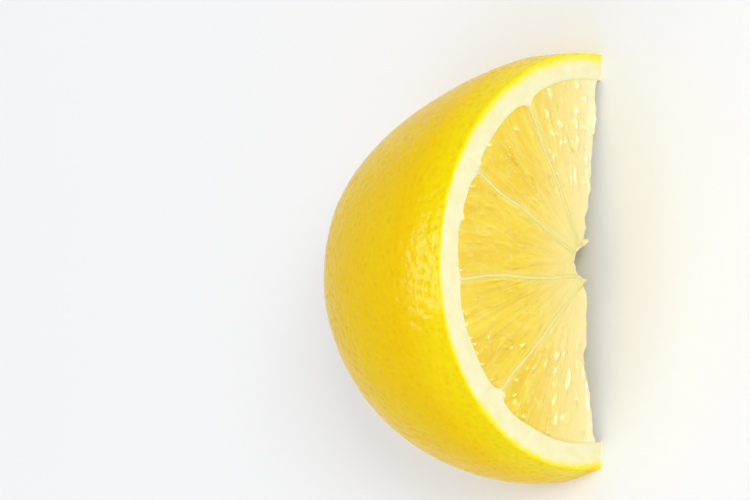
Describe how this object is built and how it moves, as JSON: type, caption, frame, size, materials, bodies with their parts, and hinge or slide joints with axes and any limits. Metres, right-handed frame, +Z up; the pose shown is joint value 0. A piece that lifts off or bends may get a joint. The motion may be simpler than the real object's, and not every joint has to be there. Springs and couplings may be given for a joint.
{
  "type": "lemon quarter",
  "caption": "Quarter of a lemon, cut across and lengthwise, resting on its lengthwise cut with the juicy cross-section in front and the blossom end behind.",
  "frame": {"origin": "on the surface it rests on, under the middle of its box", "axes": "+Z up from the lengthwise cut, -Y out of the cut across, +Y towards the blossom end, +X across the fruit"},
  "size_m": [0.0572, 0.0432, 0.0311],
  "materials": {
    "lemon_peel": "waxy, semi-gloss, pitted with oil glands"
  },
  "bodies": {
    "root": {"lemon_quarter": "lemon_peel"}
  },
  "joints": []
}
